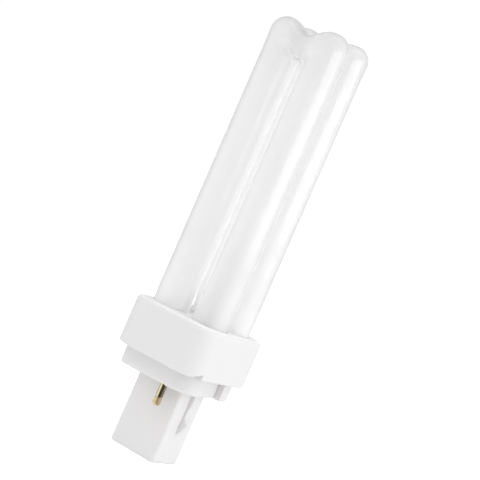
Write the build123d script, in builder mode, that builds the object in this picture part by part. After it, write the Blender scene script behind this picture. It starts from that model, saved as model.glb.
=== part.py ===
from build123d import *
import os

# Plug-in quad-tube lamp, standing on the end of its post.
# Millimetres, +Z up along the lamp, origin at the middle of the post's flat end.
# Each U of the glass lies along X, and the two U's stand one behind the other along Y.

# Glass
overall_length = 140.0
tube_diameter = 11.5
leg_gap = 3.8
row_gap = 1.5
crotch_drop = 11.1
saddle_drop = 3.3
crown_round = 5.0
crown_wall = 0.3
groove_width = 11.6
groove_round = 2.4
arch_inset = 0.15
leg_depth_in_collar = 9.0
bridge_diameter = 7.2
bridge_rise = 4.2
closed_end_round = 3.5
seal_width = 7.0
seal_thickness = 2.6
seal_drop = 4.5
seal_lead_spacing = 3.2

# Post and shoulder of the cap
post_width = 17.4
post_depth = 13.6
post_length = 23.55
post_wall = 1.3
post_floor = 1.5
post_corner = 1.0
post_end_round = 0.95
shoulder_side = 4.3
shoulder_past_pin = 1.75
shoulder_height = 6.3
shoulder_wall = 1.2
shoulder_floor = 1.5
shoulder_corner = 9.0
shoulder_inner_corner = 6.0
shoulder_round = 1.2
keyway_depth = 2.1
keyway_length = 11.0
key_length = 5.25
key_corner = 1.4

# Rib and retention tooth on each narrow face of the post
rib_thickness = 1.6
rib_height = 0.75
rib_root_height = 1.2
rib_root_length = 4.0
rib_root_slope = 1.3
tooth_height = 2.3
tooth_start = 9.6
tooth_crest = 13.75
tooth_back = 1.8
tooth_round = 0.5
rib_hold = 0.5

# Collar
collar_side_margin = 3.0
collar_end_margin = 5.6
collar_height = 15.3
collar_corner = 8.0
collar_wall = 1.6
collar_deck = 2.0
collar_top_round = 1.5
collar_foot_round = 0.6
deck_hole_clearance = 0.25
stop_rib_width = 16.0
stop_rib_thickness = 1.2
stop_rib_height = 4.0
notch_length = 3.9
notch_height = 2.1
notch_from_corner = 1.9
notch_reach = 5.0
notch_clearance = 0.5

# Plate of the cap inside the collar, and the cement under the deck
plate_thickness = 1.6
plate_clearance = 0.1
cement_thickness = 5.0
cement_clearance = 0.1

# Contact pins
pin_diameter = 2.4
pin_shank_diameter = 2.8
pin_length = 6.65
pin_across = 8.6
pin_from_post = 4.4
pin_clearance = 0.05
pin_boss_width = 4.6
pin_boss_height = 4.2
pin_tip_round = 0.9
pin_crimp_width = 0.5
pin_crimp_depth = 0.2
pin_crimp_from_tip = 2.5

# Starter, capacitor and wires
starter_diameter = 6.6
starter_length = 17.0
starter_round = 2.0
starter_wall_gap = 0.3
starter_lead_spacing = 2.6
capacitor_gap = 1.6
capacitor_depth = 8.0
capacitor_height = 10.0
capacitor_round = 0.8
capacitor_wall_gap = 0.9
capacitor_leg_diameter = 0.6
capacitor_leg_length = 2.0
capacitor_leg_spacing = 5.0
lead_diameter = 0.8

# Levels and places that follow from the sizes
tube_radius = tube_diameter / 2
leg_pitch = tube_diameter + leg_gap
row_pitch = tube_diameter + row_gap
crotch_height = overall_length - crotch_drop
saddle_height = overall_length - saddle_drop
arch_radius = tube_radius - arch_inset
arch_height = crotch_height - leg_pitch / 2 + arch_radius
crown_foot = overall_length - crown_round - crown_wall
groove_radius = (groove_width**2 / 4 + saddle_drop**2) / (2 * saddle_drop)
pin_along = post_depth + 2 * pin_from_post
shoulder_width = post_width + 2 * shoulder_side
shoulder_depth = pin_along + 2 * shoulder_past_pin
shoulder_top = post_length + shoulder_height
key_start = shoulder_depth / 2 - key_length
collar_foot = shoulder_top
collar_width = leg_pitch + tube_diameter + 2 * collar_side_margin
collar_depth = row_pitch + tube_diameter + 2 * collar_end_margin
collar_top = collar_foot + collar_height
deck_under = collar_top - collar_deck
leg_foot = collar_top - leg_depth_in_collar
seal_foot = leg_foot - seal_drop
plate_top = collar_foot + plate_thickness
boss_top = post_length + pin_boss_height
bridge_height = collar_top + bridge_rise
rows = [-row_pitch / 2, row_pitch / 2]
legs = [(x * leg_pitch / 2, y) for x in (-1, 1) for y in rows]
closed_legs = legs[:2]
electrode_legs = legs[2:]
pins = [(pin_across / 2, -pin_along / 2), (-pin_across / 2, pin_along / 2)]
inner_width = collar_width - 2 * collar_wall
inner_depth = collar_depth - 2 * collar_wall
inner_corner = collar_corner - collar_wall
post_inner_width = post_width - 2 * post_wall
starter_x = -post_inner_width / 2 + starter_wall_gap + starter_diameter / 2
starter_top = post_floor + starter_length + starter_round
capacitor_start = starter_x + starter_diameter / 2 + capacitor_gap
capacitor_width = post_inner_width / 2 - capacitor_wall_gap - capacitor_start
capacitor_x = capacitor_start + capacitor_width / 2

# Moulded top of one U: a rounded block with a groove across it
with BuildPart() as crown:
    with BuildSketch(Plane.XY.offset(crown_foot)):
        SlotCenterToCenter(leg_pitch, tube_diameter)
    extrude(amount=overall_length - crown_foot)
    fillet(crown.faces().sort_by(Axis.Z)[-1].edges(), crown_round)
    with BuildSketch(Plane.XZ):
        with Locations((0, saddle_height + groove_radius)):
            Circle(groove_radius)
    extrude(amount=tube_diameter, both=True, mode=Mode.SUBTRACT)
    groove = crown.faces().sort_by_distance((0, 0, saddle_height))[0]
    fillet(groove.edges(), groove_round)

# Two U's with moulded tops, fused by a bridge between the two closed legs
with BuildPart() as discharge_tube:
    with BuildSketch(Plane.XY.offset(leg_foot)):
        with Locations(*closed_legs):
            Circle(tube_radius)
    extrude(amount=crown_foot - leg_foot)
    fillet(discharge_tube.edges().group_by(Axis.Z)[0], closed_end_round)
    with BuildSketch(Plane.XY.offset(leg_foot)):
        with Locations(*electrode_legs):
            Circle(tube_radius)
    extrude(amount=crown_foot - leg_foot)
    # The lower part of a half ring rounds the inside of each bend
    for row in rows:
        with BuildSketch(Plane.XY.offset(arch_height)):
            with Locations((-leg_pitch / 2, row)):
                Circle(arch_radius)
        revolve(axis=Axis((0, row, arch_height), (0, 1, 0)), revolution_arc=180)
    with BuildSketch(Plane.XY.offset(crown_foot)):
        Rectangle(2 * leg_pitch, 2 * row_pitch)
    extrude(amount=overall_length, mode=Mode.SUBTRACT)
    with Locations(*[(0, row) for row in rows]):
        add(crown.part)
    with BuildSketch(Plane.XZ.offset(-row_pitch / 2)):
        with Locations((-leg_pitch / 2, bridge_height)):
            Circle(bridge_diameter / 2)
    extrude(amount=row_pitch)
    # Pressed glass seals where the lead wires leave the electrode legs
    with BuildSketch(Plane.XY.offset(seal_foot)):
        with Locations(*electrode_legs):
            RectangleRounded(seal_thickness, seal_width, seal_thickness / 3)
    extrude(amount=seal_drop)
discharge_tube.part.label = "discharge_tube"

# Shell round the foot of the legs
with BuildPart() as collar:
    with BuildSketch(Plane.XY.offset(collar_foot)):
        RectangleRounded(collar_width, collar_depth, collar_corner)
    extrude(amount=collar_height)
    fillet(collar.faces().sort_by(Axis.Z)[-1].edges(), collar_top_round)
    fillet(collar.faces().sort_by(Axis.Z)[0].edges(), collar_foot_round)
    with BuildSketch(Plane.XY.offset(collar_foot)):
        RectangleRounded(inner_width, inner_depth, inner_corner)
    extrude(amount=collar_height - collar_deck, mode=Mode.SUBTRACT)
    with BuildSketch(Plane.XY.offset(deck_under)):
        with Locations(*legs):
            Circle(tube_radius + deck_hole_clearance)
    extrude(amount=collar_deck, mode=Mode.SUBTRACT)
    # Stops that the plate of the cap comes up against
    with BuildSketch(Plane.XY.offset(plate_top)):
        with Locations(*[(0, side * (inner_depth - stop_rib_thickness) / 2) for side in (-1, 1)]):
            Rectangle(stop_rib_width, stop_rib_thickness)
    extrude(amount=stop_rib_height)
    # Wedge-shaped notch in the lower edge, at two opposite corners
    for side in (-1, 1):
        notch_start = side * (collar_depth / 2 - notch_from_corner)
        with BuildSketch(Plane.YZ.offset(side * (collar_width / 2 - notch_reach))):
            with BuildLine():
                notch_tip = (-notch_start, collar_foot)
                notch_foot = (-notch_start + side * notch_length, collar_foot)
                notch_top = (-notch_start + side * notch_length, collar_foot + notch_height)
                Polyline(notch_tip, notch_foot, notch_top, close=True)
            make_face()
        extrude(amount=side * (notch_reach + 1), mode=Mode.SUBTRACT)
collar.part.label = "collar"

# Lower half: plate, keyed shoulder and hollow post
with BuildPart() as base_cap:
    with BuildSketch(Plane.XY):
        RectangleRounded(post_width, post_depth, post_corner)
    extrude(amount=post_length)
    fillet(base_cap.faces().sort_by(Axis.Z)[0].edges(), post_end_round)
    with BuildSketch(Plane.XY.offset(post_length)) as shoulder:
        Rectangle(shoulder_width, shoulder_depth)
        fillet(shoulder.vertices().filter_by(lambda corner: corner.X * corner.Y < 0), shoulder_corner)
        fillet(shoulder.vertices().filter_by(lambda corner: corner.X * corner.Y > 0), key_corner)
        # A tapered keyway on each side leaves a key at two opposite corners
        for side in (-1, 1):
            with BuildLine():
                keyway_start = (side * shoulder_width / 2, side * (key_start - keyway_length))
                keyway_end = (side * (shoulder_width / 2 - keyway_depth), side * key_start)
                key_edge = (side * shoulder_width / 2, side * key_start)
                Polyline(keyway_start, keyway_end, key_edge, close=True)
            make_face(mode=Mode.SUBTRACT)
    extrude(amount=shoulder_height)
    shoulder_foot = base_cap.faces().filter_by(Plane.XY).sort_by(Axis.Z)[1]
    fillet(shoulder_foot.outer_wire().edges(), shoulder_round)
    with BuildSketch(Plane.XY.offset(collar_foot)):
        RectangleRounded(
            inner_width - 2 * plate_clearance,
            inner_depth - 2 * plate_clearance,
            inner_corner - plate_clearance,
        )
    extrude(amount=plate_thickness)
    with BuildSketch(Plane.XY.offset(post_length + shoulder_floor)):
        RectangleRounded(
            shoulder_width - 2 * (keyway_depth + shoulder_wall),
            shoulder_depth - 2 * shoulder_wall,
            shoulder_inner_corner,
        )
    extrude(amount=plate_top - post_length - shoulder_floor, mode=Mode.SUBTRACT)
    with BuildSketch(Plane.XY.offset(post_floor)):
        Rectangle(post_inner_width, post_depth - 2 * post_wall)
    extrude(amount=post_length, mode=Mode.SUBTRACT)
    # Bosses that hold the pins, inside the shoulder
    with BuildSketch(Plane.XY.offset(post_length + shoulder_floor)):
        for x, y in pins:
            boss_depth = shoulder_depth / 2 - post_depth / 2 - 1
            with Locations((x, (abs(y) / y) * (shoulder_depth - shoulder_wall - boss_depth) / 2)):
                Rectangle(pin_boss_width, boss_depth)
    extrude(amount=pin_boss_height - shoulder_floor)
    with BuildSketch(Plane.XY.offset(post_length)):
        with Locations(*pins):
            Circle(pin_shank_diameter / 2 + pin_clearance)
    extrude(amount=pin_boss_height, mode=Mode.SUBTRACT)
    # Rib with a retention tooth on each narrow face of the post
    for side in (-1, 1):
        face = post_width / 2
        with BuildSketch(Plane.XZ.offset(-rib_thickness / 2)) as rib:
            with BuildLine():
                Polyline(
                    (side * (face - rib_hold), tooth_start),
                    (side * face, tooth_start),
                    (side * (face + tooth_height), tooth_crest),
                    (side * (face + rib_height), tooth_crest + tooth_back),
                    (side * (face + rib_height), post_length - rib_root_length - rib_root_slope),
                    (side * (face + rib_root_height), post_length - rib_root_length),
                    (side * (face + rib_root_height), post_length),
                    (side * (face - rib_hold), post_length),
                    close=True,
                )
            make_face()
            fillet(rib.vertices().sort_by(lambda corner: side * corner.X)[-1], tooth_round)
        extrude(amount=rib_thickness)
    # Pockets in the plate behind the notches of the collar
    for side in (-1, 1):
        pocket_y = -side * (collar_depth / 2 - notch_from_corner - notch_length / 2)
        with BuildSketch(Plane.XY.offset(collar_foot)):
            with Locations((side * collar_width / 2, pocket_y)):
                Rectangle(2 * (collar_wall + notch_reach), notch_length + 2 * notch_clearance)
        extrude(amount=plate_thickness, mode=Mode.SUBTRACT)
base_cap.part.label = "base_cap"

# Bed that bonds the legs to the collar
with BuildPart() as basing_cement:
    with BuildSketch(Plane.XY.offset(deck_under - cement_thickness)):
        RectangleRounded(
            inner_width - 2 * cement_clearance,
            inner_depth - 2 * cement_clearance,
            inner_corner - cement_clearance,
        )
        with Locations(*legs):
            Circle(tube_radius + cement_clearance, mode=Mode.SUBTRACT)
    extrude(amount=cement_thickness)
basing_cement.part.label = "basing_cement"


def make_pin(name, x, y):
    """One contact pin with a rounded tip, a crimped ring near it and a thicker shank in its boss."""
    tip = post_length - pin_length
    with BuildPart() as pin:
        with BuildSketch(Plane.XY.offset(tip)):
            with Locations((x, y)):
                Circle(pin_diameter / 2)
        extrude(amount=pin_length)
        fillet(pin.edges().group_by(Axis.Z)[0], pin_tip_round)
        with BuildSketch(Plane.XY.offset(post_length)):
            with Locations((x, y)):
                Circle(pin_shank_diameter / 2)
        extrude(amount=pin_boss_height)
        with BuildSketch(Plane.XY.offset(tip + pin_crimp_from_tip)):
            with Locations((x, y)):
                Circle(pin_diameter / 2)
                Circle(pin_diameter / 2 - pin_crimp_depth, mode=Mode.SUBTRACT)
        extrude(amount=pin_crimp_width, mode=Mode.SUBTRACT)
    pin.part.label = name
    return pin


contact_pin_front = make_pin("contact_pin_front", *pins[0])
contact_pin_back = make_pin("contact_pin_back", *pins[1])

# Glow starter standing in the post
with BuildPart() as starter_bulb:
    with BuildSketch(Plane.XY.offset(post_floor)):
        with Locations((starter_x, 0)):
            Circle(starter_diameter / 2)
    extrude(amount=starter_length)
    fillet(starter_bulb.edges().filter_by(GeomType.CIRCLE), starter_round)
    # Flat pinch on top that the two leads leave from
    with BuildSketch(Plane.XY.offset(post_floor + starter_length - starter_round)):
        with Locations((starter_x, 0)):
            RectangleRounded(seal_thickness, starter_lead_spacing + 2 * lead_diameter, lead_diameter)
    extrude(amount=2 * starter_round)
starter_bulb.part.label = "starter_bulb"

# Capacitor beside it, with its two legs
with BuildPart() as suppressor_capacitor:
    with BuildSketch(Plane.XY.offset(post_floor)):
        with Locations((capacitor_x, 0)):
            Rectangle(capacitor_width, capacitor_depth)
    extrude(amount=capacitor_height)
    fillet(suppressor_capacitor.edges().filter_by(Axis.Z), capacitor_round)
    fillet(suppressor_capacitor.faces().sort_by(Axis.Z)[-1].edges(), capacitor_round / 2)
    with BuildSketch(Plane.XY.offset(post_floor + capacitor_height - capacitor_round)):
        with Locations(*[(capacitor_x, side * capacitor_leg_spacing / 2) for side in (-1, 1)]):
            Circle(capacitor_leg_diameter / 2)
    extrude(amount=capacitor_leg_length + capacitor_round)
suppressor_capacitor.part.label = "suppressor_capacitor"


def make_lead(name, low, high):
    """One lead wire that rises from its lower end and meets its upper end from below."""
    with BuildPart() as lead:
        with BuildLine():
            Spline(low, high, tangents=[(0, 0, 1), (0, 0, 1)])
        with BuildSketch(Plane(low, (1, 0, 0), (0, 0, 1))):
            Circle(lead_diameter / 2)
        sweep()
    lead.part.label = name
    return lead


leads = []
for end, side, pin in (("front", -1, pins[0]), ("back", 1, pins[1])):
    seal_middle = side * row_pitch / 2
    outer_lead = (leg_pitch / 2, seal_middle + side * seal_lead_spacing / 2, seal_foot)
    inner_lead = (leg_pitch / 2, seal_middle - side * seal_lead_spacing / 2, seal_foot)
    starter_lead = (starter_x, side * starter_lead_spacing / 2, starter_top)
    leads.append(make_lead("lead_pin_" + end, (pin[0], pin[1], boss_top), outer_lead))
    leads.append(make_lead("lead_starter_" + end, starter_lead, inner_lead))

os.makedirs("parts", exist_ok=True)
pieces = [discharge_tube, collar, base_cap, basing_cement, contact_pin_front, contact_pin_back]
pieces += [starter_bulb, suppressor_capacitor] + leads
for piece in pieces:
    export_step(piece.part, "parts/" + piece.part.label + ".step")
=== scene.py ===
import logging
import math
from dataclasses import dataclass
from enum import Enum

import bpy
import numpy as np
from mathutils import Matrix, Vector


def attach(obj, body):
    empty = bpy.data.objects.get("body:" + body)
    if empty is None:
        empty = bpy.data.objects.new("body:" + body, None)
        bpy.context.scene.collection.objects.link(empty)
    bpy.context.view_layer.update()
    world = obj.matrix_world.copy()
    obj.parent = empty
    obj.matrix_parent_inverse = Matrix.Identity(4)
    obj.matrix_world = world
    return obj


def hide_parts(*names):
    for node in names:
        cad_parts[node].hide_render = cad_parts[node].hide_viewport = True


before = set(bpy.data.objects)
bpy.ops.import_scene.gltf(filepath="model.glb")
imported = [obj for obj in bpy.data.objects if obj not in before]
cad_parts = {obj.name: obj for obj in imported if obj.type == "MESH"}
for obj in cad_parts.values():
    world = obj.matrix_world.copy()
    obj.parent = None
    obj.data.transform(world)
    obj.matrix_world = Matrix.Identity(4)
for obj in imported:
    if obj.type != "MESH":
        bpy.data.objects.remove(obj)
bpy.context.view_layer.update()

log = logging.getLogger("lamp")

# The sizes below are millimetres, and the scene is in metres
MM = 0.001

Triple = tuple[float, float, float]
Colour = Triple
Spot = Triple
Span = tuple[float, float]
Faces = list[tuple[int, ...]]
Socket = bpy.types.NodeSocket

WHITE: Colour = (1.0, 1.0, 1.0)
EVEN: Triple = (1.0, 1.0, 1.0)
MIDDLE: Spot = (0.0, 0.0, 0.0)
FULL_TURN = 2.0 * math.pi

# The part of a noise's range that most of its spots lie in
NOISE_SPAN: Span = (0.25, 0.75)


def blend(low: float, high: float, share: float) -> float:
    """The value a share of the way from low to high."""
    return low + (high - low) * share


def ease(value: float, start: float, end: float) -> float:
    """A smooth step from 0 at start to 1 at end."""
    share = min(max((value - start) / (end - start), 0.0), 1.0)
    return share * share * (3.0 - 2.0 * share)


def signed_power(values: np.ndarray, power: float | np.ndarray) -> np.ndarray:
    """Each value's size raised to a power, with its sign kept."""
    return np.sign(values) * np.abs(values) ** power


class Pattern(Enum):
    """Noise patterns: the scale per metre, the finer layers, and how much finer they are along each axis."""

    GLASS_WAVE = (80.0, 1.0, (1.0, 1.0, 1.1))
    POWDER_CLOUD = (140.0, 3.0, (1.0, 1.0, 0.35))
    MOULD_CLOUD = (90.0, 3.0, EVEN)
    MOULD_SPARK = (2600.0, 2.0, EVEN)
    DRAWN_MARKS = (900.0, 3.0, (1.0, 1.0, 0.12))
    CEMENT_GRIT = (1400.0, 5.0, EVEN)
    STARTER_WAVE = (140.0, 1.0, EVEN)
    RESIN_CLOUD = (140.0, 2.0, EVEN)


class Easing(Enum):
    """How a number runs from one level to another."""

    SOFT = "SMOOTHSTEP"
    STRAIGHT = "LINEAR"


class Join(Enum):
    """How two shares become one."""

    BOTH = "MULTIPLY"
    EITHER = "MAXIMUM"
    SUM = "ADD"


class Reach(Enum):
    """The axes along which a distance counts."""

    LEVEL = (1.0, 1.0, 0.0)
    ACROSS_LEGS = (1.0, 0.0, 0.0)
    ACROSS_ROWS = (0.0, 1.0, 0.0)


class LegEnd(Enum):
    """How the foot of a glass leg is finished."""

    CLOSED = "closed"
    PINCHED = "pinched"


@dataclass(frozen=True)
class Fade:
    """A soft change over a distance, from one share to another."""

    start: float
    end: float
    low: float = 0.0
    high: float = 1.0


class NodeBench:
    """A node tree and the ways to add to it."""

    def __init__(self, tree: bpy.types.NodeTree) -> None:
        """Take over a node tree."""
        self.tree = tree

    def add(self, kind: str, inputs: dict[str | int, object] | None = None) -> bpy.types.Node:
        """Add a node and feed its sockets.

        Args:
            kind: The node's type name.
            inputs: Numbers, colours or other sockets, by socket name or place.

        Returns:
            The new node.
        """
        node = self.tree.nodes.new(kind)
        for name, value in (inputs or {}).items():
            self.feed(node.inputs[name], value)
        return node

    def feed(self, socket: Socket, value: object) -> None:
        """Join another socket to this one, or set its own value.

        Args:
            socket: The input to feed.
            value: An output socket, a number or a colour.
        """
        if isinstance(value, bpy.types.NodeSocket):
            self.tree.links.new(value, socket)
        elif isinstance(value, tuple) and len(value) == 3 and socket.type == "RGBA":
            socket.default_value = (*value, 1.0)
        else:
            socket.default_value = value

    def ramp(
        self,
        value: Socket,
        span: Span,
        low: float | Socket,
        high: float | Socket,
        easing: Easing = Easing.SOFT,
    ) -> Socket:
        """Turn one range of numbers into another.

        Args:
            value: The number to turn.
            span: Where the range starts and ends.
            low: The result at the start.
            high: The result at the end.
            easing: How the result runs between them.

        Returns:
            The result as a socket.
        """
        limits = {"From Min": span[0], "From Max": span[1], "To Min": low, "To Max": high}
        node = self.add("ShaderNodeMapRange", {"Value": value, **limits})
        node.interpolation_type = easing.value
        return node.outputs["Result"]

    def dot(self, way: Socket, fixed: Vector) -> Socket:
        """How far a direction points along a fixed one.

        Args:
            way: The direction.
            fixed: The fixed direction.

        Returns:
            The result as a socket, from -1 to 1.
        """
        node = self.add("ShaderNodeVectorMath", {0: way, 1: fixed})
        node.operation = "DOT_PRODUCT"
        return node.outputs["Value"]

    def mix(self, share: Socket, first: Socket, second: Socket | None = None) -> Socket:
        """Go from one shader to another, or to black, by a share.

        Args:
            share: The share of the second shader.
            first: The shader at 0.
            second: The shader at 1, or none for black.

        Returns:
            The mixed shader as a socket.
        """
        node = self.add("ShaderNodeMixShader", {"Fac": share, 1: first})
        if second is not None:
            self.feed(node.inputs[2], second)
        return node.outputs["Shader"]


class FinishBench(NodeBench):
    """The node tree of one material, with its shader ready to be fed."""

    def __init__(self, name: str) -> None:
        """Start a material with its shader and its place on the object.

        Args:
            name: The material's name.
        """
        self.material = bpy.data.materials.new(name)
        self.material.use_nodes = True
        super().__init__(self.material.node_tree)
        self.shader = self.tree.nodes["Principled BSDF"]
        self.place = self.add("ShaderNodeTexCoord").outputs["Object"]

    def paint(self, inputs: dict[str, object]) -> None:
        """Feed several sockets of the shader.

        Args:
            inputs: Numbers, colours or sockets, by socket name.
        """
        for name, value in inputs.items():
            self.feed(self.shader.inputs[name], value)

    def noise(self, pattern: Pattern) -> Socket:
        """A noise fixed to the object.

        Args:
            pattern: How fine the noise is.

        Returns:
            The noise as a number from 0 to 1.
        """
        scale, detail, stretch = pattern.value
        place = self.add("ShaderNodeMapping", {"Vector": self.place, "Scale": stretch}).outputs["Vector"]
        node = self.add("ShaderNodeTexNoise", {"Vector": place, "Scale": scale, "Detail": detail})
        return node.outputs["Fac"]

    def spread(self, factor: Socket, low: float, high: float) -> Socket:
        """Spread a noise over a range of numbers."""
        return self.ramp(factor, NOISE_SPAN, low, high, Easing.STRAIGHT)

    def tint(self, factor: Socket, low: Colour, high: Colour) -> Socket:
        """Blend two colours by a noise or a share.

        Args:
            factor: The noise or share.
            low: The colour at 0.
            high: The colour at 1.

        Returns:
            The colour as a socket.
        """
        node = self.add("ShaderNodeValToRGB", {"Fac": factor})
        node.color_ramp.elements[0].color = (*low, 1.0)
        node.color_ramp.elements[1].color = (*high, 1.0)
        return node.outputs["Color"]

    def cover(self, under: Socket, share: Socket, over: Colour) -> Socket:
        """Cover a colour with another one by a share.

        Args:
            under: The colour at 0.
            share: The share of the cover.
            over: The colour at 1.

        Returns:
            The colour as a socket.
        """
        node = self.add("ShaderNodeMix")
        node.data_type = "RGBA"
        self.feed(node.inputs["Factor"], share)
        self.feed(node.inputs["A"], under)
        self.feed(node.inputs["B"], over)
        return node.outputs["Result"]

    def join(self, how: Join, first: Socket, second: Socket) -> Socket:
        """Make one share of two.

        Args:
            how: How they are joined.
            first: The first share.
            second: The second share.

        Returns:
            The joined share as a socket.
        """
        node = self.add("ShaderNodeMath", {0: first, 1: second})
        node.operation = how.value
        return node.outputs["Value"]

    def fading(self, distance: Socket, fade: Fade) -> Socket:
        """A share that changes over a distance."""
        return self.ramp(distance, (fade.start * MM, fade.end * MM), fade.low, fade.high)

    def rise(self, fade: Fade) -> Socket:
        """A share that changes with the height above the post's end."""
        return self.fading(self.add("ShaderNodeSeparateXYZ", {"Vector": self.place}).outputs["Z"], fade)

    def beside(self, reach: Reach, fade: Fade, spot: Spot = MIDDLE) -> Socket:
        """A share that changes with the distance from the lamp's axis or another upright line.

        Args:
            reach: The axes along which the distance counts.
            fade: The change.
            spot: A point of the line.

        Returns:
            The share as a socket.
        """
        shift = tuple(-part * MM for part in spot)
        mapping = {"Vector": self.place, "Scale": reach.value, "Location": shift}
        from_spot = self.add("ShaderNodeMapping", mapping).outputs["Vector"]
        distance = self.add("ShaderNodeVectorMath", {0: from_spot})
        distance.operation = "LENGTH"
        return self.fading(distance.outputs["Value"], fade)

    def bump(self, height: Socket, strength: float, depth: float) -> Socket:
        """Turn a noise into a fine relief.

        Args:
            height: The noise.
            strength: How strong the relief is.
            depth: How deep it is, in millimetres.

        Returns:
            The surface direction as a socket.
        """
        node = self.add("ShaderNodeBump", {"Height": height, "Strength": strength, "Distance": depth * MM})
        return node.outputs["Normal"]


@dataclass(frozen=True)
class Coat:
    """The light that a powder coat throws back and the light that it lets through."""

    thrown: Colour
    passed: Colour


@dataclass(frozen=True)
class CoatedGlass:
    """Clear glass with a white powder coat on its inside, whose colour carries painted shade and light:
    darker up the outer sides, over the bends, on the web, up one leg's front and in the crease, and lighter
    at the feet.
    """

    name: str = "coated_glass"
    full: Coat = Coat((0.43, 0.43, 0.43), (0.562, 0.562, 0.563))
    # Painted shade: the darker coat that stands for shade
    shaded_coat: Coat = Coat((0.37, 0.37, 0.37), (0.45, 0.45, 0.451))
    # Painted light: a lighter coat at the outer feet, and at the inner feet one that throws back less and
    # lets more through
    foot: Coat = Coat((0.62, 0.62, 0.62), (0.37, 0.37, 0.37))
    inner_foot: Coat = Coat((0.18, 0.18, 0.18), (0.805, 0.805, 0.806))
    seated: Coat = Coat((0.94, 0.94, 0.94), (0.04, 0.04, 0.04))
    # Painted shade: the dark coat of the crease
    crease_shade: Coat = Coat((0.25, 0.25, 0.25), (0.25, 0.25, 0.25))
    patchiness: float = 0.08
    powder_roughness: float = 0.6
    roughness_spread: float = 0.08
    powder_gloss: float = 0.1
    glass_roughness: float = 0.03
    glass_index: float = 1.5
    wave_strength: float = 1.0
    wave_depth: float = 0.4

    # Painted shade: the coat is darker up the outer sides and over the bends, and stays lighter at the feet
    # and on the inner sides
    lower_rise: Fade = Fade(38.0, 70.0, 0.0, 0.5)
    upper_rise: Fade = Fade(120.0, 137.0, 0.0, 0.15)
    outer_side: Fade = Fade(7.0, 9.0)
    bend_rise: Fade = Fade(126.5, 131.0)

    # Painted shade: darker on the pressed web between the legs
    web_width: Fade = Fade(1.5, 6.0, 0.4, 0.0)
    web_rise: Fade = Fade(127.0, 131.0)

    # Painted shade up the front of one leg, strongest near its foot
    shaded_front_leg: Spot = (7.65, -6.5, 0.0)
    shaded_front_spot: Spot = (8.85, -12.12, 0.0)
    shaded_front_width: Fade = Fade(1.0, 5.0, 1.0, 0.0)
    shaded_front_rise: Fade = Fade(48.0, 80.0, 0.6, 0.14)

    # Painted light: lighter at the outer foot of the other legs, and at the inner foot less light thrown
    # back and more let through
    foot_rise: Fade = Fade(45.0, 57.0, 1.0, 0.0)
    other_legs: Fade = Fade(6.5, 8.0)
    inner_rise: Fade = Fade(50.0, 66.0, 1.0, 0.0)
    inner_side: Fade = Fade(7.0, 9.0, 1.0, 0.0)
    seat_rise: Fade = Fade(44.5, 45.0, 1.0, 0.0)

    # Painted shade: a dark mark in the tight bend over the slot between the legs
    crease_width: Fade = Fade(0.6, 1.4, 1.0, 0.0)
    crease_depth: Fade = Fade(7.5, 10.5, 1.0, 0.0)
    crease_foot: Fade = Fade(127.4, 128.6)
    crease_top: Fade = Fade(128.9, 129.5, 1.0, 0.0)

    # Dimmer rim of the outer sides and the bends
    rim_side: Fade = Fade(9.5, 12.5)
    rim_rise: Fade = Fade(126.0, 134.0)
    rim_slant: Span = (0.25, 1.0)
    rim_dimming: float = 0.5

    def painted_shade(self, bench: FinishBench) -> Socket:
        """How much painted shade darkens the coat.

        Args:
            bench: The material being made.

        Returns:
            The share of the thin coat as a socket.
        """
        upward = bench.join(Join.SUM, bench.rise(self.lower_rise), bench.rise(self.upper_rise))
        outside = bench.beside(Reach.LEVEL, self.outer_side)
        share = bench.join(Join.BOTH, upward, bench.join(Join.EITHER, outside, bench.rise(self.bend_rise)))
        between = bench.beside(Reach.ACROSS_LEGS, self.web_width)
        web = bench.join(Join.BOTH, between, bench.rise(self.web_rise))
        front = bench.beside(Reach.LEVEL, self.shaded_front_width, self.shaded_front_spot)
        front_shade = bench.join(Join.BOTH, front, bench.rise(self.shaded_front_rise))
        return bench.join(Join.SUM, bench.join(Join.SUM, share, web), front_shade)

    def at_foot(self, bench: FinishBench) -> Socket:
        """How much painted light brightens the outer foot of all legs but the one with the shaded front.

        Args:
            bench: The material being made.

        Returns:
            The share as a socket.
        """
        others = bench.beside(Reach.LEVEL, self.other_legs, self.shaded_front_leg)
        outside = bench.beside(Reach.LEVEL, self.outer_side)
        return bench.join(Join.BOTH, bench.join(Join.BOTH, bench.rise(self.foot_rise), others), outside)

    def at_inner_foot(self, bench: FinishBench) -> Socket:
        """How much painted light changes the inner foot of the legs."""
        inside = bench.beside(Reach.LEVEL, self.inner_side)
        return bench.join(Join.BOTH, bench.rise(self.inner_rise), inside)

    def at_crease(self, bench: FinishBench) -> Socket:
        """Where the painted shade of the crease lies.

        Args:
            bench: The material being made.

        Returns:
            The share as a socket.
        """
        beside = bench.beside(Reach.ACROSS_LEGS, self.crease_width)
        within = bench.beside(Reach.ACROSS_ROWS, self.crease_depth)
        band = bench.join(Join.BOTH, bench.rise(self.crease_foot), bench.rise(self.crease_top))
        return bench.join(Join.BOTH, bench.join(Join.BOTH, beside, within), band)

    def rim(self, bench: FinishBench) -> Socket:
        """How much dimmer the glass is where it is seen at a slant.

        Args:
            bench: The material being made.

        Returns:
            The share as a socket.
        """
        slant = bench.add("ShaderNodeLayerWeight").outputs["Facing"]
        side = bench.beside(Reach.LEVEL, self.rim_side)
        edge = bench.join(Join.EITHER, side, bench.rise(self.rim_rise))
        return bench.join(Join.BOTH, bench.ramp(slant, self.rim_slant, 0.0, self.rim_dimming), edge)

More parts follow.
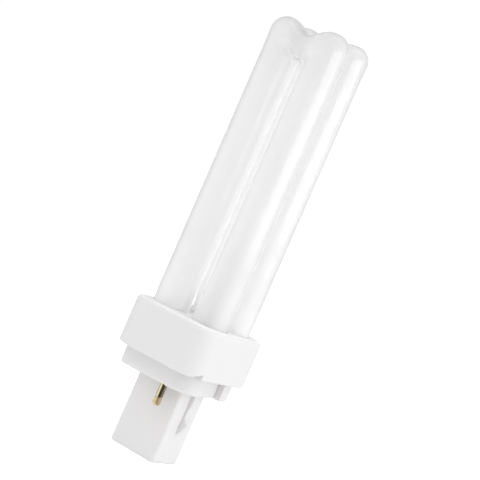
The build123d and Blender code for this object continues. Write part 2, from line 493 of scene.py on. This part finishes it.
    def material(self) -> bpy.types.Material:
        """Make the material.

        Returns:
            The finished material.
        """
        bench = FinishBench(self.name)
        cloud = bench.noise(Pattern.POWDER_CLOUD)
        # Painted shade darkens the coat up the outer sides, over the bends, on the web and up one leg's
        # front
        painted_shade = self.painted_shade(bench)
        patchy = bench.join(Join.SUM, painted_shade, bench.spread(cloud, -self.patchiness, self.patchiness))
        thrown = bench.tint(patchy, self.full.thrown, self.shaded_coat.thrown)
        passed = bench.tint(painted_shade, self.full.passed, self.shaded_coat.passed)
        # Painted light at the outer and inner feet and painted shade in the crease go over the coat, as does
        # the seated part below the deck
        zones = [
            (self.at_foot(bench), self.foot),
            (self.at_inner_foot(bench), self.inner_foot),
            (bench.rise(self.seat_rise), self.seated),
            (self.at_crease(bench), self.crease_shade),
        ]
        for share, coat in zones:
            thrown = bench.cover(thrown, share, coat.thrown)
            passed = bench.cover(passed, share, coat.passed)
        smoothest = self.powder_roughness - self.roughness_spread
        bench.paint({
            "Base Color": thrown,
            "Roughness": bench.spread(cloud, smoothest, self.powder_roughness + self.roughness_spread),
            "Specular IOR Level": self.powder_gloss,
            "Coat Weight": 1.0,
            "Coat Roughness": self.glass_roughness,
            "Coat IOR": self.glass_index,
            "Coat Normal": bench.bump(bench.noise(Pattern.GLASS_WAVE), self.wave_strength, self.wave_depth),
        })
        through = bench.add("ShaderNodeBsdfTranslucent", {"Color": passed}).outputs["BSDF"]
        dimmed = bench.mix(self.rim(bench), through)
        whole = bench.add("ShaderNodeAddShader", {0: bench.shader.outputs["BSDF"], 1: dimmed})
        bench.feed(bench.tree.nodes["Material Output"].inputs["Surface"], whole.outputs["Shader"])
        return bench.material


@dataclass(frozen=True)
class MouldedPlastic:
    """White moulded plastic with a fine spark-eroded surface, with painted light on the deck, strongest in
    its middle among the tubes.
    """

    name: str = "moulded_plastic"
    colour: Colour = (0.735, 0.727, 0.726)
    shade: Colour = (0.712, 0.704, 0.704)
    # Painted light: the deck is lighter than the sides, and lighter still in its middle among the tubes
    painted_deck_light: Colour = (0.83, 0.826, 0.822)
    painted_middle_light: Colour = (0.95, 0.948, 0.946)
    deck_rise: Fade = Fade(44.6, 45.1)
    deck_middle: Fade = Fade(6.0, 9.0, 1.0, 0.0)
    roughness: float = 0.4
    roughness_spread: float = 0.06
    gloss: float = 0.3
    grain_strength: float = 0.25
    grain_depth: float = 0.02

    def material(self) -> bpy.types.Material:
        """Make the material.

        Returns:
            The finished material.
        """
        bench = FinishBench(self.name)
        cloud = bench.noise(Pattern.MOULD_CLOUD)
        spark = bench.noise(Pattern.MOULD_SPARK)
        # Painted light on the deck, strongest in its middle
        deck = bench.rise(self.deck_rise)
        middle = bench.join(Join.BOTH, deck, bench.beside(Reach.LEVEL, self.deck_middle))
        body = bench.cover(bench.tint(cloud, self.shade, self.colour), deck, self.painted_deck_light)
        smoothest = self.roughness - self.roughness_spread
        bench.paint({
            "Base Color": bench.cover(body, middle, self.painted_middle_light),
            "Roughness": bench.spread(cloud, smoothest, self.roughness + self.roughness_spread),
            "Specular IOR Level": self.gloss,
            "Normal": bench.bump(spark, self.grain_strength, self.grain_depth),
        })
        return bench.material


@dataclass(frozen=True)
class TinnedWire:
    """Tinned wire with fine marks from drawing."""

    name: str = "tinned_wire"
    colour: Colour = (0.66, 0.64, 0.61)
    dull_colour: Colour = (0.52, 0.50, 0.48)
    smoothest: float = 0.25
    roughest: float = 0.4
    mark_strength: float = 0.3
    mark_depth: float = 0.01

    def material(self) -> bpy.types.Material:
        """Make the material.

        Returns:
            The finished material.
        """
        bench = FinishBench(self.name)
        marks = bench.noise(Pattern.DRAWN_MARKS)
        bench.paint({
            "Base Color": bench.tint(marks, self.dull_colour, self.colour),
            "Metallic": 1.0,
            "Roughness": bench.spread(marks, self.smoothest, self.roughest),
            "Normal": bench.bump(marks, self.mark_strength, self.mark_depth),
        })
        return bench.material


@dataclass(frozen=True)
class TippedBrass:
    """Bright brass of a contact pin, with a duller, dipped end."""

    name: str = "tipped_brass"
    brass: Colour = (0.80, 0.71, 0.50)
    worn_brass: Colour = (0.66, 0.57, 0.37)
    tip: Colour = (0.82, 0.64, 0.38)
    tip_rise: Fade = Fade(19.1, 20.1, 1.0, 0.0)
    tip_metal: float = 0.8
    brass_roughness: float = 0.2
    tip_roughness: float = 0.42
    mark_strength: float = 0.3
    mark_depth: float = 0.01

    def material(self) -> bpy.types.Material:
        """Make the material.

        Returns:
            The finished material.
        """
        bench = FinishBench(self.name)
        marks = bench.noise(Pattern.DRAWN_MARKS)
        dipped = bench.rise(self.tip_rise)
        bench.paint({
            "Base Color": bench.cover(bench.tint(marks, self.worn_brass, self.brass), dipped, self.tip),
            "Metallic": bench.ramp(dipped, (0.0, 1.0), 1.0, self.tip_metal),
            "Roughness": bench.ramp(dipped, (0.0, 1.0), self.brass_roughness, self.tip_roughness),
            "Normal": bench.bump(marks, self.mark_strength, self.mark_depth),
        })
        return bench.material


@dataclass(frozen=True)
class GrittyCement:
    """Matt cement with grit in it."""

    name: str = "gritty_cement"
    pale: Colour = (0.72, 0.68, 0.60)
    dark: Colour = (0.52, 0.48, 0.41)
    smoothest: float = 0.8
    roughest: float = 0.95
    grit_strength: float = 0.6
    grit_depth: float = 0.15

    def material(self) -> bpy.types.Material:
        """Make the material.

        Returns:
            The finished material.
        """
        bench = FinishBench(self.name)
        grit = bench.noise(Pattern.CEMENT_GRIT)
        bench.paint({
            "Base Color": bench.tint(grit, self.dark, self.pale),
            "Roughness": bench.spread(grit, self.smoothest, self.roughest),
            "Normal": bench.bump(grit, self.grit_strength, self.grit_depth),
        })
        return bench.material


@dataclass(frozen=True)
class ClearGlass:
    """Clear glass of the starter, a little wavy."""

    name: str = "clear_glass"
    colour: Colour = (0.93, 0.95, 0.95)
    smoothest: float = 0.02
    roughest: float = 0.08
    clearness: float = 0.9
    glass_index: float = 1.5
    wave_strength: float = 0.2
    wave_depth: float = 0.1

    def material(self) -> bpy.types.Material:
        """Make the material.

        Returns:
            The finished material.
        """
        bench = FinishBench(self.name)
        wave = bench.noise(Pattern.STARTER_WAVE)
        bench.paint({
            "Base Color": self.colour,
            "Roughness": bench.spread(wave, self.smoothest, self.roughest),
            "Transmission Weight": self.clearness,
            "IOR": self.glass_index,
            "Normal": bench.bump(wave, self.wave_strength, self.wave_depth),
        })
        return bench.material


@dataclass(frozen=True)
class DippedCase:
    """Glossy dipped resin of the capacitor."""

    name: str = "dipped_case"
    colour: Colour = (0.55, 0.12, 0.07)
    shade: Colour = (0.42, 0.08, 0.05)
    smoothest: float = 0.18
    roughest: float = 0.32
    run_strength: float = 0.3
    run_depth: float = 0.2

    def material(self) -> bpy.types.Material:
        """Make the material.

        Returns:
            The finished material.
        """
        bench = FinishBench(self.name)
        cloud = bench.noise(Pattern.RESIN_CLOUD)
        bench.paint({
            "Base Color": bench.tint(cloud, self.shade, self.colour),
            "Roughness": bench.spread(cloud, self.smoothest, self.roughest),
            "Normal": bench.bump(cloud, self.run_strength, self.run_depth),
        })
        return bench.material


def dress(nodes: list[str], material: bpy.types.Material) -> None:
    """Give CAD nodes their finish.

    Args:
        nodes: The nodes' names.
        material: The finish they all take.
    """
    for name in nodes:
        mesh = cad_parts[name].data
        mesh.materials.clear()
        mesh.materials.append(material)
        log.info("%s takes %s", name, material.name)


def place_in_scene(name: str, data: bpy.types.ID) -> bpy.types.Object:
    """Put a mesh, a light or a camera into the scene.

    Args:
        name: The object's name.
        data: What the object holds.

    Returns:
        The object.
    """
    placed = bpy.data.objects.new(name, data)
    bpy.context.scene.collection.objects.link(placed)
    return placed


@dataclass
class DischargeTube:
    """Two U's of coated glass with moulded tops, joined by a fused bridge."""

    finish: CoatedGlass
    overall_length: float = 140.0
    tube_radius: float = 5.75
    leg_pitch: float = 15.3
    row_pitch: float = 13.0

    # Moulded tops
    crotch_height: float = 128.9
    crotch_round: float = 2.05
    saddle_height: float = 136.7
    saddle_half: float = 4.2
    saddle_start: float = math.radians(48.0)
    dip_half_width: float = 8.3
    crown_rounds: tuple[float, float] = (5.0, 4.2)
    oval: float = 2.0
    crown_square: float = 2.8
    crown_square_start: float = 3.0
    crotch_square: float = 3.2
    crotch_square_start: float = 1.5

    # Feet of the legs
    leg_foot: float = 36.15
    leg_start: float = 40.65
    closed_end_round: float = 3.5
    seal_foot: float = 31.65
    seal_top: float = 39.15
    seal_opening: Span = (34.65, 38.95)
    seal_half_width: float = 3.5
    seal_half_thickness: float = 1.3
    seal_square: float = 4.0

    # Bridge, which goes a little way into the legs
    bridge_height: float = 49.35
    bridge_radius: float = 3.6
    bridge_flare: float = 1.3
    bridge_hold: float = 0.06

    # How finely each form is divided
    around: int = 72
    bend_steps: int = 120
    leg_steps: int = 24
    closed_end_steps: int = 12
    seal_steps: int = 18
    bridge_steps: int = 24
    side_points: int = 40
    shoulder_points: int = 60
    top_points: int = 120

    def __post_init__(self) -> None:
        """Work out the places that follow from the sizes."""
        self.leg_x = self.leg_pitch / 2
        self.fan_height = self.crotch_height - self.crotch_round
        self.turns = np.linspace(0.0, FULL_TURN, self.around, endpoint=False)

    def outline(self, crown_round: float) -> tuple[np.ndarray, np.ndarray]:
        """The outline of a U's top, seen from the fan's pivot.

        Args:
            crown_round: The radius of its shoulders.

        Returns:
            The angles of its points and their distances from the pivot.
        """
        outer = self.leg_x + self.tube_radius
        shoulder_x = outer - crown_round
        shoulder_z = self.overall_length - crown_round
        side_z = np.linspace(self.fan_height, shoulder_z, self.side_points)
        bend = np.linspace(0.0, math.pi / 2, self.shoulder_points)
        top_x = np.linspace(shoulder_x, 0.0, self.top_points)
        side_x = np.full(self.side_points, outer)
        x = np.concatenate([side_x, shoulder_x + crown_round * np.cos(bend), top_x])
        z = np.concatenate([side_z, shoulder_z + crown_round * np.sin(bend), self.top_at(top_x)])
        return np.arctan2(z - self.fan_height, x), np.hypot(x, z - self.fan_height)

    def top_at(self, x: np.ndarray) -> np.ndarray:
        """The height of the top's outline, which dips at the middle.

        Args:
            x: Distances from the middle.

        Returns:
            The heights.
        """
        share = np.clip(np.abs(x) / self.dip_half_width, 0.0, 1.0)
        dip = 0.5 + 0.5 * np.cos(math.pi * share)
        return self.overall_length - (self.overall_length - self.saddle_height) * dip

    def bend_ring(self, angle: float, outline: tuple[np.ndarray, np.ndarray]) -> np.ndarray:
        """One section of the bend, in a plane that fans out from under the crotch.

        Args:
            angle: The plane's angle, from 0 at the +X leg to pi at the -X leg.
            outline: The angles and distances of the top's outline.

        Returns:
            The points of the section.
        """
        folded = min(angle, math.pi - angle)
        outer = float(np.interp(folded, *outline))
        rise = math.sin(angle) ** 2
        inner = blend(self.leg_x - self.tube_radius, self.crotch_round, rise)
        middle = ease(folded, self.saddle_start, math.pi / 2)
        outer_half = blend(self.tube_radius, self.saddle_half, middle)
        centre = outer - outer_half
        across = np.cos(self.turns)
        crown = blend(self.oval, self.crown_square, rise**self.crown_square_start)
        crotch = blend(self.oval, self.crotch_square, rise**self.crotch_square_start)
        power = 2.0 / np.where(across > 0.0, crown, crotch)
        along = np.where(across > 0.0, outer_half, centre - inner) * signed_power(across, power)
        depth = self.tube_radius * signed_power(np.sin(self.turns), power)
        reach = centre + along
        return np.stack([reach * math.cos(angle), depth, self.fan_height + reach * math.sin(angle)], 1)

    def leg_ring(self, side: float, height: float, half: Span, square: float) -> np.ndarray:
        """One level section of a leg.

        Args:
            side: 1 for the +X leg and -1 for the -X leg.
            height: The section's level.
            half: Half its size along X and Y.
            square: 2 for an oval, and more for a squarer shape.

        Returns:
            The points of the section.
        """
        x = self.leg_x + half[0] * signed_power(np.cos(self.turns), 2.0 / square)
        y = half[1] * signed_power(np.sin(self.turns), 2.0 / square)
        return np.stack([side * x, y, np.full(self.around, height)], 1)

    def round_ring(self, side: float, height: float, radius: float) -> np.ndarray:
        """One round section of a leg."""
        return self.leg_ring(side, height, (radius, radius), self.oval)

    def end_rings(self, side: float, end: LegEnd) -> list[np.ndarray]:
        """The sections of a leg's foot, from the bottom up.

        Args:
            side: 1 for the +X leg and -1 for the -X leg.
            end: How the foot is finished.

        Returns:
            The sections.
        """
        rings = []
        if end is LegEnd.CLOSED:
            for turn in np.linspace(0.0, math.pi / 2, self.closed_end_steps):
                radius = self.tube_radius - self.closed_end_round * (1.0 - math.sin(turn))
                height = self.leg_foot + self.closed_end_round * (1.0 - math.cos(turn))
                rings.append(self.round_ring(side, height, radius))
            return rings
        for height in np.linspace(self.seal_foot, self.seal_top, self.seal_steps):
            share = ease(height, *self.seal_opening)
            half_x = blend(self.seal_half_thickness, self.tube_radius, share)
            half_y = blend(self.seal_half_width, self.tube_radius, share)
            square = blend(self.seal_square, self.oval, share)
            rings.append(self.leg_ring(side, height, (half_x, half_y), square))
        return rings

    def skin(self, rings: int) -> Faces:
        """The faces between sections that follow each other.

        Args:
            rings: How many sections there are.

        Returns:
            The faces.
        """
        count = self.around
        faces = []
        for low in range(0, (rings - 1) * count, count):
            for step in range(count):
                after = (step + 1) % count
                faces.append((low + step, low + after, low + count + after, low + count + step))
        return faces

    def lid(self, start: int, middle: int) -> Faces:
        """The faces that close a section.

        Args:
            start: The place of its first point.
            middle: The place of its middle point.

        Returns:
            The faces.
        """
        count = self.around
        return [(start + (step + 1) % count, start + step, middle) for step in range(count)]

    def u_mesh(self, row: float, crown_round: float) -> tuple[np.ndarray, Faces]:
        """One U, from the pinched foot over the bend to the closed foot.

        Args:
            row: The Y level of the U.
            crown_round: The radius of its shoulders.

        Returns:
            Its points and faces.
        """
        rise = np.linspace(self.leg_start, self.fan_height, self.leg_steps)[:-1]
        outline = self.outline(crown_round)
        angles = np.linspace(0.0, math.pi, self.bend_steps + 1)
        rings = self.end_rings(1.0, LegEnd.PINCHED)
        rings += [self.round_ring(1.0, height, self.tube_radius) for height in rise]
        rings += [self.bend_ring(angle, outline) for angle in angles]
        rings += [self.round_ring(-1.0, height, self.tube_radius) for height in rise[::-1]]
        rings += self.end_rings(-1.0, LegEnd.CLOSED)[::-1]
        last = (len(rings) - 1) * self.around
        middle = len(rings) * self.around
        faces = self.skin(len(rings)) + self.lid(0, middle)
        faces += [face[::-1] for face in self.lid(last, middle + 1)]
        points = np.concatenate([*rings, [rings[0].mean(0), rings[-1].mean(0)]])
        points[:, 1] += row
        return points, faces

    def bridge_mesh(self) -> tuple[np.ndarray, Faces]:
        """The fused neck between the two closed legs, flared where it meets them.

        Returns:
            Its points and faces.
        """
        rings = []
        for share in np.linspace(-1.0, 1.0, self.bridge_steps + 1):
            flare = self.bridge_flare * (1.0 - math.sqrt(max(1.0 - share * share, 0.0)))
            x = (self.bridge_radius + flare) * np.cos(self.turns)
            z = (self.bridge_radius + flare) * np.sin(self.turns)
            to_leg = self.row_pitch / 2 - np.sqrt(self.tube_radius**2 - x**2)
            y = (to_leg + self.bridge_hold) * share
            rings.append(np.stack([x - self.leg_x, y, self.bridge_height + z], 1))
        # The lids have points of their own, so the neck stays smooth up to the glass
        ends = [rings[0], rings[-1]]
        first = len(rings) * self.around
        last = first + self.around
        middle = last + self.around
        faces = [face[::-1] for face in self.skin(len(rings)) + self.lid(first, middle)]
        faces += self.lid(last, middle + 1)
        return np.concatenate([*rings, *ends, [end.mean(0) for end in ends]]), faces

    def build(self) -> bpy.types.Object:
        """Make the glass body in place of its CAD node.

        Returns:
            The glass body.
        """
        points = np.zeros((0, 3))
        faces: Faces = []
        rows = (-self.row_pitch / 2, self.row_pitch / 2)
        parts = [self.u_mesh(row, crown) for row, crown in zip(rows, self.crown_rounds)]
        for part_points, part_faces in [*parts, self.bridge_mesh()]:
            start = len(points)
            faces += [tuple(start + corner for corner in face) for face in part_faces]
            points = np.concatenate([points, part_points])
        mesh = bpy.data.meshes.new("coated_tubes")
        mesh.from_pydata((points * MM).tolist(), [], faces)
        mesh.shade_smooth()
        mesh.materials.append(self.finish.material())
        tubes = place_in_scene("coated_tubes", mesh)
        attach(tubes, "root")
        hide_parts("discharge_tube")
        log.info("%s stands for discharge_tube", tubes.name)
        return tubes


@dataclass
class Cap:
    """The moulded collar and lower half, with the contact pins."""

    plastic: MouldedPlastic
    brass: TippedBrass

    def build(self) -> None:
        """Dress the CAD nodes of the cap."""
        dress(["collar", "base_cap"], self.plastic.material())
        dress(["contact_pin_front", "contact_pin_back"], self.brass.material())


@dataclass
class InnerWorks:
    """The pieces inside the collar and the post."""

    cement: GrittyCement
    glass: ClearGlass
    case: DippedCase
    wire: TinnedWire

    def build(self) -> None:
        """Dress the CAD nodes inside the cap."""
        dress(["basing_cement"], self.cement.material())
        dress(["starter_bulb"], self.glass.material())
        dress(["suppressor_capacitor"], self.case.material())
        leads = ["lead_pin_front", "lead_pin_back", "lead_starter_front", "lead_starter_back"]
        dress(leads, self.wire.material())


@dataclass(frozen=True)
class SoftBox:
    """A soft light: its turn to the camera's right in degrees, its place, its size and its face's glow."""

    name: str
    turn: float
    height: float
    away: float
    size: Span
    glow: float


@dataclass
class Studio:
    """The floor, the white surround, the soft lights and the camera."""

    # Camera, aimed a little to the right of the lamp's middle and above it
    azimuth: float = 31.0
    elevation: float = 2.64
    distance: float = 471.9
    lens: float = 115.93
    film_width: float = 36.0
    clip: Span = (0.01, 20.0)
    roll: float = 23.56
    aim_height: float = 70.0
    aim_right: float = 1.391
    aim_up: float = 1.814

    # Floor, which glows like a light table and a little more where it is seen
    floor_radius: float = 500.0
    floor_corners: int = 96
    floor_colour: Colour = (0.45, 0.45, 0.45)
    floor_roughness: float = 0.9
    floor_glow: float = 0.6
    floor_seen_glow: float = 0.8

    # Surround as it lights the lamp, from the camera's side to the far side, and overhead
    front: float = 0.77
    back: float = 1.0
    back_span: Span = (0.0, 0.6)
    overhead: float = 1.5
    overhead_span: Span = (0.2, 0.8)

    # Surround as the lamp mirrors it, with a low card on the left, and as it is seen
    mirrored_left: float = 0.5
    mirrored_low_card: float = 1.25
    low_card_span: Span = (-0.13, -0.08)
    mirrored_right: float = 0.25
    right_span: Span = (-0.3, 0.3)
    mirrored_front: float = 0.04
    front_span: Span = (-0.8, -0.65)
    mirrored_back: float = 0.5
    mirrored_back_span: Span = (-0.05, 0.5)
    mirrored_overhead: float = 0.1
    mirrored_overhead_span: Span = (0.35, 0.8)
    seen: float = 1.02

    # Lights: the strip shows only in reflections, and the side box shows in none
    strip: SoftBox = SoftBox("strip", 62.0, 104.0, 400.0, (520.0, 204.0), 1.95)
    strip_fade: Span = (0.1, 0.4)
    side_box: SoftBox = SoftBox("side_box", 78.0, 150.0, 700.0, (500.0, 400.0), 1.9)

    def directions(self) -> tuple[Vector, Vector, Vector]:
        """The camera's directions before it is rolled.

        Returns:
            The ways to its right, up and ahead.
        """
        turn, tilt = math.radians(self.azimuth), math.radians(self.elevation)
        right = Vector((math.cos(turn), math.sin(turn), 0.0))
        level = Vector((-math.sin(turn), math.cos(turn), 0.0))
        ahead = level * math.cos(tilt) - Vector((0.0, 0.0, math.sin(tilt)))
        return right, right.cross(ahead), ahead

    def camera(self) -> None:
        """Set the camera at the photograph's place and lean."""
        right, up, ahead = self.directions()
        aim = Vector((0.0, 0.0, self.aim_height)) + right * self.aim_right + up * self.aim_up
        roll = math.radians(self.roll)
        side = right * math.cos(roll) + up * math.sin(roll)
        top = up * math.cos(roll) - right * math.sin(roll)
        turn = Matrix((side, top, -ahead)).transposed()
        data = bpy.data.cameras.new("camera")
        data.lens = self.lens
        data.sensor_width = self.film_width
        data.clip_start, data.clip_end = self.clip
        camera = place_in_scene("camera", data)
        camera.matrix_world = Matrix.Translation((aim - ahead * self.distance) * MM) @ turn.to_4x4()
        bpy.context.scene.camera = camera

    def floor(self) -> None:
        """Lay a plain pale floor that doesn't show in reflections."""
        turns = np.linspace(0.0, FULL_TURN, self.floor_corners, endpoint=False)
        radius = self.floor_radius * MM
        points = [(radius * math.cos(turn), radius * math.sin(turn), 0.0) for turn in turns]
        mesh = bpy.data.meshes.new("floor")
        mesh.from_pydata(points, [], [tuple(range(len(points)))])
        bench = FinishBench("pale_floor")
        seen = bench.add("ShaderNodeLightPath").outputs["Is Camera Ray"]
        bench.paint({
            "Base Color": self.floor_colour,
            "Roughness": self.floor_roughness,
            "Specular IOR Level": 0.0,
            "Emission Color": WHITE,
            "Emission Strength": bench.ramp(seen, (0.0, 1.0), self.floor_glow, self.floor_seen_glow),
        })
        mesh.materials.append(bench.material)
        floor = place_in_scene("floor", mesh)
        floor.visible_glossy = False

    def world(self) -> None:
        """Surround the lamp with white, set apart for lighting it, for its gloss and for the view."""
        world = bpy.data.worlds.new("surround")
        bpy.context.scene.world = world
        world.use_nodes = True
        bench = NodeBench(world.node_tree)
        bench.tree.nodes.clear()
        right, _, ahead = self.directions()
        place = bench.add("ShaderNodeTexCoord").outputs["Generated"]
        up = bench.add("ShaderNodeSeparateXYZ", {"Vector": place}).outputs["Z"]
        along, across = bench.dot(place, ahead), bench.dot(place, right)
        glow = self.mirrored(bench, along, across, up)
        soft = bench.ramp(along, self.back_span, self.front, self.back)
        sky = bench.ramp(up, self.overhead_span, soft, self.overhead, Easing.STRAIGHT)
        lit, mirrored, seen = (
            bench.add("ShaderNodeBackground", {"Color": WHITE, "Strength": strength}).outputs["Background"]
            for strength in (sky, glow, self.seen)
        )
        path = bench.add("ShaderNodeLightPath")
        unseen = bench.mix(path.outputs["Is Glossy Ray"], lit, mirrored)
        surface = bench.mix(path.outputs["Is Camera Ray"], unseen, seen)
        bench.add("ShaderNodeOutputWorld", {"Surface": surface})

    def mirrored(self, bench: NodeBench, along: Socket, across: Socket, up: Socket) -> Socket:
        """How bright the surround is in reflections.

        Args:
            bench: The surround being made.
            along: How far a direction points away from the camera.
            across: How far it points to the camera's right.
            up: How far it points upward.

        Returns:
            The brightness as a socket.
        """
        left = bench.ramp(up, self.low_card_span, self.mirrored_low_card, self.mirrored_left)
        sides = bench.ramp(across, self.right_span, left, self.mirrored_right, Easing.STRAIGHT)
        near = bench.ramp(along, self.front_span, self.mirrored_front, sides, Easing.STRAIGHT)
        far = bench.ramp(along, self.mirrored_back_span, near, self.mirrored_back, Easing.STRAIGHT)
        return bench.ramp(up, self.mirrored_overhead_span, far, self.mirrored_overhead, Easing.STRAIGHT)

    def soft_light(self, box: SoftBox) -> bpy.types.Object:
        """Hang a soft light that faces the lamp.

        Args:
            box: The light.

        Returns:
            The light in the scene.
        """
        angle = math.radians(self.azimuth + box.turn)
        spot = Vector((math.sin(angle) * box.away, -math.cos(angle) * box.away, box.height)) * MM
        data = bpy.data.lights.new(box.name, "AREA")
        data.shape = "RECTANGLE"
        data.size, data.size_y = box.size[0] * MM, box.size[1] * MM
        data.energy = box.glow * math.pi * data.size * data.size_y
        light = place_in_scene(box.name, data)
        toward = Vector((0.0, 0.0, self.aim_height * MM)) - spot
        light.matrix_world = Matrix.Translation(spot) @ toward.to_track_quat("-Z", "Y").to_matrix().to_4x4()
        return light

    def fade(self, light: bpy.types.Object, span: Span) -> None:
        """Let a soft light grow dimmer towards its lower edge.

        Args:
            light: The light.
            span: The part of its height, from below, where it grows bright.
        """
        light.data.use_nodes = True
        bench = NodeBench(light.data.node_tree)
        place = bench.add("ShaderNodeNewGeometry").outputs["Parametric"]
        rise = bench.add("ShaderNodeSeparateXYZ", {"Vector": place}).outputs["Y"]
        bench.feed(bench.tree.nodes["Emission"].inputs["Strength"], bench.ramp(rise, span, 0.0, 1.0))

    def build(self) -> None:
        """Set up the floor, the surround, the lights and the camera."""
        self.floor()
        self.world()
        strip = self.soft_light(self.strip)
        strip.visible_diffuse = False
        strip.visible_transmission = False
        self.fade(strip, self.strip_fade)
        self.soft_light(self.side_box).visible_glossy = False
        self.camera()
        bpy.context.scene.view_settings.view_transform = "Standard"
        log.info("studio is set")


def main() -> None:
    """Build the lamp's pieces in order, then the studio."""
    logging.basicConfig(level=logging.INFO, format="%(message)s")
    DischargeTube(CoatedGlass()).build()
    Cap(MouldedPlastic(), TippedBrass()).build()
    InnerWorks(GrittyCement(), ClearGlass(), DippedCase(), TinnedWire()).build()
    Studio().build()


if __name__ == "__main__":
    main()
